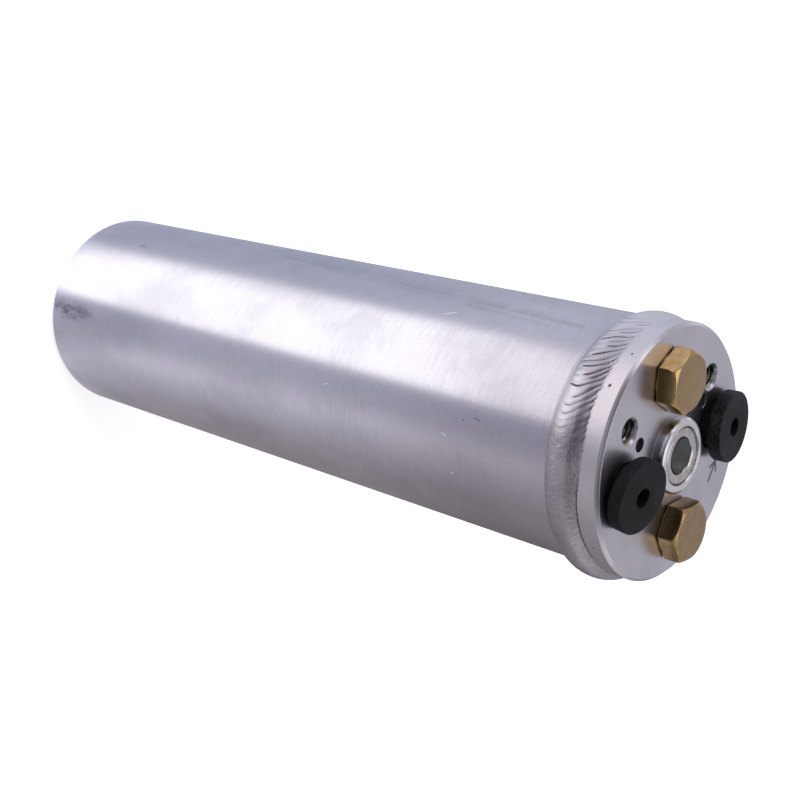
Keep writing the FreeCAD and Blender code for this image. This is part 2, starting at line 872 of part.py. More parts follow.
def make_stack():
    """Everything between the canister's floor and the head."""
    pad_thickness = size("pad_thickness")
    return [
        make_support_cup(),
        make_annulus("lower_filter_pad", pad_thickness, support_top),
        make_annulus("desiccant_bed", size("desiccant_height"), desiccant_bottom),
        make_annulus("upper_filter_pad", pad_thickness, upper_pad_bottom),
        make_upper_plate(),
        make_spring(),
    ]


# Check and write

def check(pieces):
    """Stop if any object failed, or any piece has no sound shape."""
    for item in doc.Objects:
        if "Invalid" in item.State or "Error" in item.State:
            raise RuntimeError(f"{item.Name} failed: {item.State}")
    for piece in pieces:
        if piece.Shape.isNull() or not piece.Shape.isValid() or not piece.Shape.Solids:
            raise RuntimeError(f"{piece.Label} has no sound solid")


def write(pieces):
    """Write one file for each piece and print its volume."""
    os.makedirs("parts", exist_ok=True)
    for piece in pieces:
        piece.Shape.exportStep(f"parts/{piece.Label}.step")
        print(f"{piece.Label}: {len(piece.Shape.Solids)} solid, {piece.Shape.Volume:.0f} mm3")


def main():
    """Build every piece, check them and write them."""
    pieces = [make_canister(), make_head(), make_weld_bead()]
    pieces += make_sight_glass()
    pieces += make_switch_closures()
    pieces += make_port_closures()
    pieces += make_pickup_tube()
    pieces.append(make_strainer())
    pieces += make_stack()
    doc.recompute()
    check(pieces)
    write(pieces)
    return pieces


PIECES = main()
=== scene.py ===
# %% [markdown]
# The object is a receiver drier: an aluminium can with a ported head welded on, two brass hexagon plugs,
# two rubber plugs and a small sight glass. The construction model is loaded first and never changes. What
# follows gives it its finishes, adds the parts that are too fine for the solids, and lights it.

# %% Load the frame
import math

import bmesh
import bpy
from mathutils import Matrix, Vector


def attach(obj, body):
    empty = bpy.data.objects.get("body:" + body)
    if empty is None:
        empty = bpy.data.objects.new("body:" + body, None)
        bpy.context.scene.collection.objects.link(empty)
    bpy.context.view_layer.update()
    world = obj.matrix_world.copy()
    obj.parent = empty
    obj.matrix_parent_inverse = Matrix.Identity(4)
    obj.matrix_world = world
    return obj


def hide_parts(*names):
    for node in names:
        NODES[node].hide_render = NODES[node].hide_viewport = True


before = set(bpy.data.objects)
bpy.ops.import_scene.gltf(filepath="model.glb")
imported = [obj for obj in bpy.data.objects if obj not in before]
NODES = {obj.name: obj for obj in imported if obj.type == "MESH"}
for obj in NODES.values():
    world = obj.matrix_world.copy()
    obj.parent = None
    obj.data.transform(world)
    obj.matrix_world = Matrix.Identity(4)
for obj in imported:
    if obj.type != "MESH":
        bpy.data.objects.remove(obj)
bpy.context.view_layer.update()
MM = 0.001

# %% [markdown]
# The camera looks down at the standing can and is rolled, so that the can lies across the picture with its
# head at the lower right. Three things describe it: where it stands, which point of the can's axis it looks
# at, and how far it is rolled about its own line of sight. A long lens would flatten the head, so the real
# distance matters as much as the direction.

# %% Camera
CAMERA_PLACE = Vector((-0.2865, 0.16838, 0.43375))
CAMERA_FORWARD = Vector((0.65486, -0.40105, -0.64056))
CAMERA_ROLL = math.radians(105.444)
CAMERA_LENS = 56.856
SENSOR_WIDTH = 36.0


def aimed(place, direction, roll=0.0):
    """A matrix that stands at a place and looks along a direction, rolled about it."""
    turn = direction.to_track_quat("-Z", "Y").to_matrix().to_4x4()
    return Matrix.Translation(place) @ turn @ Matrix.Rotation(roll, 4, "Z")


camera = bpy.data.objects.new("camera", bpy.data.cameras.new("camera"))
bpy.context.scene.collection.objects.link(camera)
camera.data.lens = CAMERA_LENS
camera.data.sensor_width = SENSOR_WIDTH
camera.data.clip_start = 0.01
camera.data.clip_end = 20.0
camera.matrix_world = aimed(CAMERA_PLACE, CAMERA_FORWARD, CAMERA_ROLL)
bpy.context.scene.camera = camera
print("camera stands", round(CAMERA_PLACE.length, 3), "m from the foot of the can")

# %% [markdown]
# Every finish is a node tree, and most of a tree is arithmetic on masks. Written out link by link it is
# unreadable, so one small class wraps a number that travels between nodes: plus, minus, times and divide on
# it add the Math nodes. A second class builds one material, with a single method for every other node.

# %% Arithmetic on shader numbers
class Signal:
    """A number that travels between shader nodes. Python's operators on it add Math nodes."""

    def __init__(self, finish, socket):
        self.finish = finish
        self.socket = socket

    def __add__(self, other):
        return self.finish.math("ADD", self, other)

    def __sub__(self, other):
        return self.finish.math("SUBTRACT", self, other)

    def __mul__(self, other):
        return self.finish.math("MULTIPLY", self, other)

    def __truediv__(self, other):
        return self.finish.math("DIVIDE", self, other)

    def __rsub__(self, other):
        return self.finish.math("SUBTRACT", other, self)

    def __rtruediv__(self, other):
        return self.finish.math("DIVIDE", other, self)

    __radd__ = __add__
    __rmul__ = __mul__


# %% One material under construction
class Finish:
    """A material whose tree is built by calls, round one Principled shader."""

    def __init__(self, name, **constants):
        self.material = bpy.data.materials.new(name)
        self.material.use_nodes = True
        self.tree = self.material.node_tree
        self.tree.nodes.clear()
        self.shader = self.tree.nodes.new("ShaderNodeBsdfPrincipled")
        self.output = self.tree.nodes.new("ShaderNodeOutputMaterial")
        self.tree.links.new(self.shader.outputs[0], self.output.inputs["Surface"])
        for socket, value in constants.items():
            self.feed(self.shader, socket.replace("_", " "), value)
        coordinates = self.tree.nodes.new("ShaderNodeTexCoord")
        self.place = coordinates.outputs["Object"]

    def feed(self, node, socket, value):
        """Link a signal or socket to an input, or set the input to a plain value."""
        target = node.inputs[socket]
        if isinstance(value, Signal):
            value = value.socket
        if isinstance(value, bpy.types.NodeSocket):
            self.tree.links.new(value, target)
        elif hasattr(value, "__len__") and len(value) == 3 and len(target.default_value) == 4:
            target.default_value = (*value, 1.0)
        else:
            target.default_value = value

    def node(self, kind, settings=None, inputs=None):
        """Add any node: its settings go in first, then the values or links of its sockets."""
        made = self.tree.nodes.new("ShaderNode" + kind)
        for name, value in (settings or {}).items():
            if name == "stops":
                self.set_stops(made.color_ramp, value)
            else:
                setattr(made, name, value)
        for socket, value in (inputs or {}).items():
            self.feed(made, socket, value)
        return made

    def set_stops(self, ramp, stops):
        """Give a ramp its stops, as pairs of position and grey or colour."""
        while len(ramp.elements) < len(stops):
            ramp.elements.new(0.5)
        for element, (position, colour) in zip(ramp.elements, stops):
            element.position = position
            element.color = (colour, colour, colour, 1.0) if isinstance(colour, float) else (*colour, 1.0)

    def math(self, operation, *values):
        """One Math node on two or three numbers."""
        inputs = dict(enumerate(values))
        return Signal(self, self.node("Math", {"operation": operation}, inputs).outputs[0])

    def noise(self, size, detail=2.0, stretch=(1, 1, 1), roughness=0.5, seed=0.0):
        """Cloudy noise from 0 to 1 whose patches measure about size, in metres, before stretching."""
        scale = [1.0 / (size * share) for share in stretch]
        spot = self.node("Mapping", None, {
            "Vector": self.place, "Scale": scale, "Location": (seed, seed, seed)})
        made = self.node("TexNoise", None, {
            "Vector": spot.outputs[0], "Scale": 1.0, "Detail": detail, "Roughness": roughness})
        return Signal(self, made.outputs["Fac"])

    def ramp(self, signal, low, high):
        """Zero below low, one above high, and a smooth step between."""
        made = self.node("MapRange", {"interpolation_type": "SMOOTHSTEP"}, {
            "Value": signal, "From Min": low, "From Max": high})
        return Signal(self, made.outputs[0])

    def blend(self, factor, first, second):
        """Mix two colours by a number."""
        made = self.node("Mix", {"data_type": "RGBA"}, {0: factor, 6: first, 7: second})
        return made.outputs[2]

    def axes(self):
        """The three coordinates of the point, as numbers."""
        split = self.node("SeparateXYZ", None, {0: self.place})
        return [Signal(self, output) for output in split.outputs]

    def bump(self, height, depth, strength=1.0, under=None):
        """A surface bent by a height from 0 to 1 that stands for depth, in metres."""
        inputs = {"Height": height, "Distance": depth, "Strength": strength}
        if under is not None:
            inputs["Normal"] = under
        return self.node("Bump", None, inputs).outputs[0]

    def finish(self, **inputs):
        """Link what varies over the surface to the shader and return the material."""
        for socket, value in inputs.items():
            self.feed(self.shader, socket.replace("_", " "), value)
        return self.material


print("shader helpers ready")

# %% [markdown]
# A standing metal can that is seen from above mirrors the table and not the room: every ray that leaves its
# wall goes down. So the floor is a photographer's light table. To the camera it is plain white under a faint
# shadow. To a mirror it is a soft grey with one bright field on one side of the can, which draws the broad
# white band along the wall, and its light falls off gently on the far side, which rounds the can.
#
# The band has straight edges, so the field has them too. The wall sends the ray that arrives at one angle
# round the can out along one line over the table. Two such lines bound the field. The softer tones go round
# the can by bearing, as shares of a full turn. There are two rings of them, since the foot of the wall
# mirrors the near floor and its top mirrors the floor further out.

# %% Light table
FLOOR_SIZE = 12.0
CAN_RADIUS = 0.038
VIEW_BEARING = 148.5
BAND_FROM = 113.5
BAND_TO = 149.0
FIELD_EDGE = 0.004
FIELD_REACH = (0.34, 0.39)
FIELD_STRENGTH = 1.95
FIELD_REST = 1.15
FIELD_COLOURS = ((1.0, 0.985, 1.0), (1.0, 0.90, 0.985))
SHADOW_LIFT = 0.55
FLOOR_WHITE = 0.82
FLOOR_ROUGHNESS = 0.9
TABLE_TONES = (
    (0.0, (0.507, 0.544, 0.655)),
    (0.11, (0.536, 0.571, 0.722)),
    (0.20, (0.60, 0.63, 0.79)),
    (0.44, (0.60, 0.60, 0.75)),
    (0.49, (0.64, 0.64, 0.75)),
    (0.54, (0.89, 0.85, 0.945)),
    (0.592, (0.66, 0.625, 0.71)),
    (0.652, (0.464, 0.437, 0.485)),
    (0.724, (0.41, 0.378, 0.40)),
    (0.84, (0.271, 0.251, 0.276)),
    (0.93, (0.36, 0.372, 0.432)),
    (1.0, (0.507, 0.544, 0.655)),
)
FAR_TONES = (
    (0.0, (0.53, 0.56, 0.66)),
    (0.11, (0.78, 0.815, 0.96)),
    (0.20, (0.83, 0.855, 1.0)),
    (0.44, (0.40, 0.38, 0.47)),
    (0.49, (0.40, 0.375, 0.44)),
    (0.54, (0.56, 0.51, 0.56)),
    (0.592, (0.44, 0.40, 0.44)),
    (0.652, (0.33, 0.30, 0.33)),
    (0.724, (0.30, 0.27, 0.28)),
    (0.84, (0.16, 0.145, 0.155)),
    (0.93, (0.32, 0.325, 0.38)),
    (1.0, (0.53, 0.56, 0.66)),
)
FAR_REACH = (0.23, 0.33)


def left_of_ray(across, along, angle):
    """Metres to the left of the ray that the can's wall sends out over the table from one angle."""
    out = math.radians(2 * angle - VIEW_BEARING)
    start_x = CAN_RADIUS * math.cos(math.radians(angle))
    start_y = CAN_RADIUS * math.sin(math.radians(angle))
    return (along - start_y) * math.cos(out) - (across - start_x) * math.sin(out)


def light_table():
    """The floor: white to the camera, a patterned glow to metal and glass, pale paint to all other light."""
    finish = Finish("light_table", Base_Color=(FLOOR_WHITE,) * 3, Roughness=FLOOR_ROUGHNESS,
                    Specular_IOR_Level=0.0)
    across, along, up = finish.axes()
    bearing = finish.math("ARCTAN2", along, across) * math.degrees(1)
    distance = finish.math("SQRT", across * across + along * along)
    after_first = finish.ramp(left_of_ray(across, along, BAND_FROM), -FIELD_EDGE * 1.5, FIELD_EDGE * 2.5)
    before_last = 1 - finish.ramp(left_of_ray(across, along, BAND_TO), -FIELD_EDGE, FIELD_EDGE)
    inside = after_first * before_last
    near = 1 - finish.ramp(distance, *FIELD_REACH)
    field = near * FIELD_STRENGTH + (1 - near) * FIELD_REST
    round_share = finish.math("FRACT", bearing / 360.0 + 1.0)
    tones = [finish.node("ValToRGB", {"stops": stops}, {0: round_share}).outputs[0]
             for stops in (TABLE_TONES, FAR_TONES)]
    outside = finish.blend(finish.ramp(distance, *FAR_REACH), *tones)
    mirrored = finish.node("Emission", None, {
        "Color": finish.blend(inside, outside, finish.blend(near, FIELD_COLOURS[1], FIELD_COLOURS[0])),
        "Strength": (1 - inside) + field * inside})
    white = finish.node("Emission", None, {"Color": (1.0, 1.0, 1.0), "Strength": SHADOW_LIFT})
    seen = finish.node("AddShader", None, {0: finish.shader.outputs[0], 1: white.outputs[0]})
    path = finish.node("LightPath")
    soft = finish.node("MixShader", None, {
        0: path.outputs["Is Camera Ray"], 1: finish.shader.outputs[0], 2: seen.outputs[0]})
    mirror = finish.math("MAXIMUM", Signal(finish, path.outputs["Is Glossy Ray"]),
                         Signal(finish, path.outputs["Is Transmission Ray"]))
    both = finish.node("MixShader", None, {0: mirror, 1: soft.outputs[0], 2: mirrored.outputs[0]})
    finish.tree.links.new(both.outputs[0], finish.output.inputs["Surface"])
    return finish.material


def make_floor():
    """One large square at the height of the can's foot."""
    mesh = bmesh.new()
    bmesh.ops.create_grid(mesh, x_segments=1, y_segments=1, size=FLOOR_SIZE / 2)
    data = bpy.data.meshes.new("floor")
    mesh.to_mesh(data)
    mesh.free()
    floor = bpy.data.objects.new("floor", data)
    bpy.context.scene.collection.objects.link(floor)
    data.materials.append(light_table())
    print("floor", FLOOR_SIZE, "m square")


make_floor()

# %% [markdown]
# Above the table there is a lilac grey room. Whatever points up or towards the camera mirrors it: the face
# of the head and its edges, the rolled lip and the brass. So the room has patches, each with a bearing, a
# rise above the horizon, the two cosines between which it fades in, and a colour. The dark ones stand for
# the photographer and the unlit side, because without them no edge has a dark line and the metal looks like
# plastic. The bright ones draw the light lines. The two lamps are broad and soft, and metal doesn't mirror
# them: they only light the rubber and the floor.

# %% Room and lamps
ROOM_TINT = (0.56, 0.55, 0.60)
ROOM_PATCHES = (
    ((0.0, 86.0), 0.90, 0.975, (1.5, 1.47, 1.5)),
    ((2.0, 4.0), 0.96, 0.995, (1.0, 0.98, 1.03)),
    ((258.0, 16.0), 0.955, 0.99, (1.15, 1.12, 1.16)),
    ((110.0, 48.0), 0.905, 0.965, (0.05, 0.05, 0.06)),
    ((205.0, 42.0), 0.88, 0.95, (0.07, 0.07, 0.08)),
    ((156.0, 38.0), 0.80, 0.93, (0.045, 0.045, 0.055)),
    ((66.0, 32.0), 0.955, 0.985, (1.9, 1.86, 1.95)),
)
LAMP_TARGET = (0, 0, 0.13)


def heading(bearing, rise):
    """The direction of a bearing and a height above the horizon, both in degrees."""
    flat = math.cos(math.radians(rise))
    return (flat * math.cos(math.radians(bearing)), flat * math.sin(math.radians(bearing)),
            math.sin(math.radians(rise)))


def make_room():
    """The world: white to the camera, lilac grey with a few patches to all other rays."""
    world = bpy.data.worlds.new("room")
    bpy.context.scene.world = world
    world.use_nodes = True
    tree = world.node_tree
    tree.nodes.clear()
    output = tree.nodes.new("ShaderNodeOutputWorld")
    direction = tree.nodes.new("ShaderNodeTexCoord").outputs["Generated"]
    tint = tree.nodes.new("ShaderNodeRGB").outputs[0]
    tint.default_value = (*ROOM_TINT, 1.0)
    for (bearing, rise), low, high, colour in ROOM_PATCHES:
        toward = tree.nodes.new("ShaderNodeVectorMath")
        toward.operation = "DOT_PRODUCT"
        tree.links.new(direction, toward.inputs[0])
        toward.inputs[1].default_value = heading(bearing, rise)
        mask = tree.nodes.new("ShaderNodeMapRange")
        mask.interpolation_type = "SMOOTHSTEP"
        mask.inputs["From Min"].default_value = low
        mask.inputs["From Max"].default_value = high
        tree.links.new(toward.outputs["Value"], mask.inputs["Value"])
        mix = tree.nodes.new("ShaderNodeMix")
        mix.data_type = "RGBA"
        mix.inputs[7].default_value = (*colour, 1.0)
        tree.links.new(mask.outputs[0], mix.inputs[0])
        tree.links.new(tint, mix.inputs[6])
        tint = mix.outputs[2]
    patched = tree.nodes.new("ShaderNodeBackground")
    tree.links.new(tint, patched.inputs["Color"])
    white = tree.nodes.new("ShaderNodeBackground")
    white.inputs["Color"].default_value = (1.0, 1.0, 1.0, 1.0)
    path = tree.nodes.new("ShaderNodeLightPath")
    choice = tree.nodes.new("ShaderNodeMixShader")
    tree.links.new(path.outputs["Is Camera Ray"], choice.inputs[0])
    tree.links.new(patched.outputs[0], choice.inputs[1])
    tree.links.new(white.outputs[0], choice.inputs[2])
    tree.links.new(choice.outputs[0], output.inputs["Surface"])


def make_lamp(name, place, width, power):
    """A soft square lamp at a place, facing the middle of the can and hidden from mirrors."""
    lamp = bpy.data.lights.new(name, "AREA")
    lamp.shape = "SQUARE"
    lamp.size = width
    lamp.energy = power
    holder = bpy.data.objects.new(name, lamp)
    bpy.context.scene.collection.objects.link(holder)
    holder.visible_camera = False
    holder.visible_glossy = False
    place = Vector(place)
    holder.matrix_world = aimed(place, Vector(LAMP_TARGET) - place)
    print(name, "at", place[:], power, "W")


make_room()
make_lamp("key_lamp", (0.1, 0.9, 0.9), 0.9, 9.0)
make_lamp("fill_lamp", (-0.9, -0.5, 0.8), 0.8, 3.0)

# %% [markdown]
# Marks on the can are placed as a fitter would describe them: so far round the can and so high above its
# foot. Unrolled like that, the wall is a flat sheet. The angle is counted from the side that faces the
# camera, so that the place where it jumps from 180 to -180 degrees lies at the back. A scratch is then the
# distance to a short straight line.

# %% Marks on an unrolled wall
FRONT_ANGLE = 149.5


def unrolled(finish):
    """Millimetres round the wall from the front line, and millimetres above the foot."""
    across, along, up = finish.axes()
    turn = math.radians(FRONT_ANGLE)
    ahead = across * math.cos(turn) + along * math.sin(turn)
    aside = along * math.cos(turn) - across * math.sin(turn)
    return finish.math("ARCTAN2", aside, ahead) * (CAN_RADIUS / MM), up / MM


def wall_spot(angle, height):
    """An angle round the can and a height, as a point on the unrolled wall."""
    return math.radians(angle - FRONT_ANGLE) * CAN_RADIUS / MM, height


def stroke(finish, sheet, start, end, width):
    """One on a straight scratch between two points of a flat sheet, and zero beyond its width, in mm."""
    right, up = sheet[0] - start[0], sheet[1] - start[1]
    run_x, run_y = end[0] - start[0], end[1] - start[1]
    length = run_x * run_x + run_y * run_y
    share = finish.math("MAXIMUM", finish.math("MINIMUM", (right * run_x + up * run_y) / length, 1.0), 0.0)
    off_x, off_y = right - share * run_x, up - share * run_y
    away = finish.math("SQRT", off_x * off_x + off_y * off_y)
    return 1 - finish.ramp(away, width * 0.3, width)


def strokes(finish, sheet, marks):
    """The sum of several scratches, each given by its start, its end and its width."""
    total = 0.0
    for start, end, width in marks:
        total = stroke(finish, sheet, start, end, width) + total
    return total


def on_wall(marks):
    """Scratches given by angles and heights, as scratches on the unrolled wall."""
    return [(wall_spot(*start), wall_spot(*end), width) for start, end, width in marks]


def past(finish, sheet, start, end):
    """Zero before one angle round the wall, one past a second, and a smooth step between."""
    return finish.ramp(sheet[0], wall_spot(start, 0.0)[0], wall_spot(end, 0.0)[0])


def patch(finish, sheet, middle, reach_x, reach_y):
    """One in the middle of an oval patch of a flat sheet, falling to zero at its edge."""
    right, up = (sheet[0] - middle[0]) / reach_x, (sheet[1] - middle[1]) / reach_y
    return 1 - finish.ramp(finish.math("SQRT", right * right + up * up), 0.2, 1.0)


print("front of the can lies at", FRONT_ANGLE, "degrees")

# %% [markdown]
# The can is drawn from a disc of aluminium and then brushed by handling. Its skin has short fine lines that
# run round it, because it was wiped and rolled that way, and its sheen is blurred along the can more than
# round it. Noise gives both when it is stretched: a pattern that is small along the axis and long across it
# reads as brushing. Cloudy patches of dulled metal, a stain near the foot and a few scratches come on top.
# Anisotropic reflection is set on the shader itself, because it is the same everywhere.

# %% Drawn aluminium
STAIN = ((158.5, 12.0), 5.0, 22.0)
LONG_LINES = (
    ((90.0, 104.0), (100.8, 236.0), 1.5, 0.55),
    ((88.5, 120.0), (97.0, 222.0), 1.2, 0.35),
    ((95.0, 128.0), (104.5, 226.0), 1.3, 0.3),
    ((84.0, 90.0), (92.0, 200.0), 1.1, 0.3),
)
DARK_NICKS = (
    ((107.0, 33.0), (108.6, 37.5), 0.30),
    ((109.2, 34.0), (106.0, 36.6), 0.25),
    ((156.4, 217.0), (157.4, 219.0), 0.32),
    ((158.6, 212.5), (159.0, 213.2), 0.25),
)
BRIGHT_NICKS = (
    ((111.0, 189.6), (108.6, 193.2), 0.28),
    ((185.3, 208.7), (185.5, 209.1), 0.42),
    ((167.2, 205.4), (167.9, 206.9), 0.28),
    ((160.2, 155.0), (159.4, 156.6), 0.25),
)


def drawn_aluminium():
    """The can's wall: brushed round, clouded, stained near the foot and scratched."""
    finish = Finish("drawn_aluminium", Metallic=1.0, Anisotropic=0.5, Anisotropic_Rotation=0.25)
    sheet = unrolled(finish)
    brushing = finish.noise(0.0030, 3.0, (1, 1, 0.13))
    coarse = finish.noise(0.006, 2.0, (1, 1, 0.2), seed=3.0)
    speckle = finish.noise(0.00055, 3.0, (1, 1, 0.8), roughness=0.7)
    clouds = finish.noise(0.028, 4.0, (1, 1, 1.8), seed=7.0)
    drag = finish.noise(0.004, 2.0, (1, 1, 9.0), seed=11.0)

    headward = finish.ramp(sheet[1], 120.0, 235.0)
    stain = patch(finish, sheet, wall_spot(*STAIN[0]), *STAIN[1:])
    stain = stain * finish.ramp(finish.noise(0.0026, 5.0, (1, 1, 2.0), roughness=0.7, seed=5.0), 0.36, 0.66)
    seam_break = finish.ramp(finish.noise(0.012, 3.0, seed=9.0), 0.35, 0.6)
    long_lines = 0.0
    for start, end, width, weight in LONG_LINES:
        line = stroke(finish, sheet, wall_spot(*start), wall_spot(*end), width)
        long_lines = line * seam_break * weight + long_lines
    nicks = strokes(finish, sheet, on_wall(DARK_NICKS))
    bright_nicks = strokes(finish, sheet, on_wall(BRIGHT_NICKS))

    worn = finish.ramp(clouds + coarse * 0.3, 0.50, 0.85)
    colour = finish.blend(worn, (0.585, 0.575, 0.615), (0.495, 0.49, 0.53))
    speckled = finish.ramp(speckle, 0.54, 0.72) * (0.35 + headward * 0.3)
    colour = finish.blend(speckled, colour, (0.33, 0.32, 0.36))
    dark = finish.math("MINIMUM", stain * 0.75 + long_lines * 0.38 + nicks * 0.6, 1.0)
    colour = finish.blend(dark, colour, (0.14, 0.14, 0.17))
    colour = finish.blend(finish.math("MINIMUM", bright_nicks, 1.0), colour, (0.92, 0.92, 0.94))
    roughness = 0.235 + brushing * 0.06 + worn * 0.07 + stain * 0.15
    height = brushing * 0.55 + speckle * (0.35 + headward * 0.5) + coarse * 0.2
    height = height - nicks * 0.6 - bright_nicks * 0.8
    burnt = finish.ramp(sheet[1], 222.0, 244.0) * finish.noise(0.0015, 3.0, roughness=0.6, seed=15.0)
    waves = finish.noise(0.018, 1.0, (1, 1, 3.0), seed=13.0) + drag * 0.12 + burnt * 0.35
    waves = finish.bump(waves, 0.00012, 0.5)
    normal = finish.bump(height, 0.000018, 0.65, waves)
    return finish.finish(Base_Color=colour, Roughness=roughness, Normal=normal)


def dress(node, material):
    """Give a node of the construction model its finish."""
    NODES[node].data.materials.clear()
    NODES[node].data.materials.append(material)


dress("canister", drawn_aluminium())
print("can dressed")

# %% [markdown]
# The head is turned from bar. Its edges carry small breaks that the solid doesn't have, so a Bevel node
# rounds the normals near every edge, and where those rounded normals differ from the true ones the metal is
# rubbed brighter. The face shows what every turned face shows: faint rings round the axis. A small arrow is
# punched beside the inlet port, as a fitter's guide to the flow, the rim has a few pits, and painted shade
# darkens the walls deep in the tapped holes.

# %% Machined aluminium
FACE = 261.0
EDGE_BREAK = 0.00028
LIP_BREAK = 0.0014
ARROW_STROKES = (
    ((20.6, -18.2), (24.8, -13.0), 0.75),
    ((24.8, -13.0), (21.6, -13.9), 0.7),
    ((24.8, -13.0), (24.9, -16.4), 0.7),
)
RIM_PITS = ((112.1, 257.5, 0.5), (129.1, 256.6, 0.75), (51.0, 259.3, 0.5), (203.0, 257.0, 0.4))
HOLES = ((21.8, 16.0), (-21.8, 16.0))
HOLE_REACH = 3.9
LIP_REACH = 11.7


def edge_wear(finish, radius):
    """Rounded normals for the edges of a hard solid, and a mask that is one along those edges."""
    rounded = finish.node("Bevel", {"samples": 6}, {"Radius": radius})
    true = finish.node("NewGeometry")
    same = finish.node("VectorMath", {"operation": "DOT_PRODUCT"}, {
        0: rounded.outputs[0], 1: true.outputs["Normal"]})
    return rounded.outputs[0], 1 - finish.ramp(Signal(finish, same.outputs["Value"]), 0.80, 0.995)


def over_face(finish, up, low, high):
    """Zero below one height and one above another, both in mm from the face of the head."""
    return finish.ramp(up, (FACE + low) * MM, (FACE + high) * MM)


def machined_aluminium():
    """The head: turned, lightly polished, with rubbed edges, a punched arrow and pits in its rim."""
    finish = Finish("machined_aluminium", Metallic=1.0, Anisotropic=0.25, Anisotropic_Rotation=0.25)
    across, along, up = finish.axes()
    reach = finish.math("SQRT", across * across + along * along)
    rings = finish.node("TexNoise", None, {
        "Vector": finish.node("CombineXYZ", None, {0: reach * 2600.0, 1: up * 1200.0, 2: 0.0}).outputs[0],
        "Scale": 1.0, "Detail": 2.0})
    rings = Signal(finish, rings.outputs["Fac"])
    clouds = finish.noise(0.011, 3.0, seed=2.0)
    fine = finish.noise(0.0005, 3.0, roughness=0.7)
    rounded, edge_wear_and_sheen = edge_wear(finish, EDGE_BREAK)
    rolled, _ = edge_wear(finish, LIP_BREAK)
    on_lip = 1 - finish.ramp(reach, LIP_REACH * MM, (LIP_REACH + 0.4) * MM)
    on_lip = on_lip * over_face(finish, up, 0.5, 1.5)
    rounded = finish.blend(on_lip, rounded, rolled)
    edge_wear_and_sheen = edge_wear_and_sheen * (1 - on_lip)

    flat = (across / MM, along / MM)
    arrow = finish.math("MINIMUM", strokes(finish, flat, ARROW_STROKES), 1.0)
    arrow = arrow * over_face(finish, up, -0.5, -0.1)
    sheet = unrolled(finish)
    pits = 0.0
    for angle, height, width in RIM_PITS:
        middle = wall_spot(angle, height)
        pits = patch(finish, sheet, middle, width, width * 0.8) + pits
    pits = finish.math("MINIMUM", pits * 2.0, 1.0)
    pits = pits * finish.ramp(reach, CAN_RADIUS - 0.8 * MM, CAN_RADIUS - 0.4 * MM)
    on_rim = finish.ramp(reach, CAN_RADIUS, CAN_RADIUS + 0.5 * MM)
    # A mask for painted shade on the walls deep inside the tapped holes.
    hole_shade = 0.0
    for hole_x, hole_y in HOLES:
        right, above = flat[0] - hole_x, flat[1] - hole_y
        away = finish.math("SQRT", right * right + above * above)
        hole_shade = (1 - finish.ramp(away, HOLE_REACH - 0.2, HOLE_REACH)) + hole_shade
    hole_shade = hole_shade * (1 - over_face(finish, up, -1.6, -0.8))

    colour = finish.blend(finish.ramp(clouds, 0.35, 0.75), (0.62, 0.61, 0.65), (0.555, 0.55, 0.59))
    colour = finish.blend(on_rim, colour, (0.67, 0.65, 0.675))
    colour = finish.blend(on_rim * finish.ramp(fine, 0.45, 0.75) * 0.4, colour, (0.40, 0.38, 0.41))
    colour = finish.blend(on_lip * 0.8, colour, (0.80, 0.79, 0.81))
    colour = finish.blend(edge_wear_and_sheen * 0.35, colour, (0.80, 0.79, 0.82))
    # Painted shade deep in the tapped holes.
    colour = finish.blend(hole_shade * 0.9, colour, (0.06, 0.055, 0.05))
    colour = finish.blend(finish.math("MINIMUM", arrow * 0.8 + pits, 1.0), colour, (0.10, 0.09, 0.10))
    roughness = 0.25 + clouds * 0.08 + fine * 0.04 + arrow * 0.3 + on_rim * 0.10 - on_lip * 0.18
    grit = finish.noise(0.0011, 3.0, roughness=0.65, seed=6.0)
    height = rings * 0.5 + fine * 0.5 + on_rim * (fine * 1.5 + grit * 6.0) - (arrow + pits) * 6.0
    normal = finish.bump(height, 0.000010, 0.5, rounded)
    return finish.finish(Base_Color=colour, Roughness=roughness, Normal=normal)


dress("head", machined_aluminium())
print("head dressed")

# %% [markdown]
# New pieces all end the same way: doubles are merged, faces are turned outwards, and only real edges stay
# sharp. Each one rides on the object's one body and gets its finish, and where it stands for a node of the
# construction model, that node is hidden.

# %% Finishing a new piece
def whole_piece(mesh, name, material, stands_for=None, sharp=35.0):
    """Merge a bmesh's doubles, make it an object of the part and give it its finish."""
    bmesh.ops.remove_doubles(mesh, verts=mesh.verts, dist=0.000002)
    bmesh.ops.recalc_face_normals(mesh, faces=mesh.faces)
    open_edges = sum(1 for edge in mesh.edges if not edge.is_manifold)
    data = bpy.data.meshes.new(name)
    mesh.to_mesh(data)
    mesh.free()
    data.shade_smooth()
    data.set_sharp_from_angle(angle=math.radians(sharp))
    data.materials.append(material)
    piece = bpy.data.objects.new(name, data)
    bpy.context.scene.collection.objects.link(piece)
    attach(piece, "root")
    if stands_for:
        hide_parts(stands_for)
    data.calc_loop_triangles()
    print(name, len(data.loop_triangles), "triangles,", open_edges, "open edges")
    return piece


def turned(outline, steps):
    """Spin an outline of (radius, height) pairs, in millimetres, once round the upright axis."""
    mesh = bmesh.new()
    corners = [mesh.verts.new((radius * MM, 0, height * MM)) for radius, height in outline]
    edges = [mesh.edges.new(pair) for pair in zip(corners, corners[1:])]
    bmesh.ops.spin(mesh, geom=corners + edges, cent=(0, 0, 0), axis=(0, 0, 1), angle=math.tau,
                   steps=steps, use_merge=True)
    return mesh
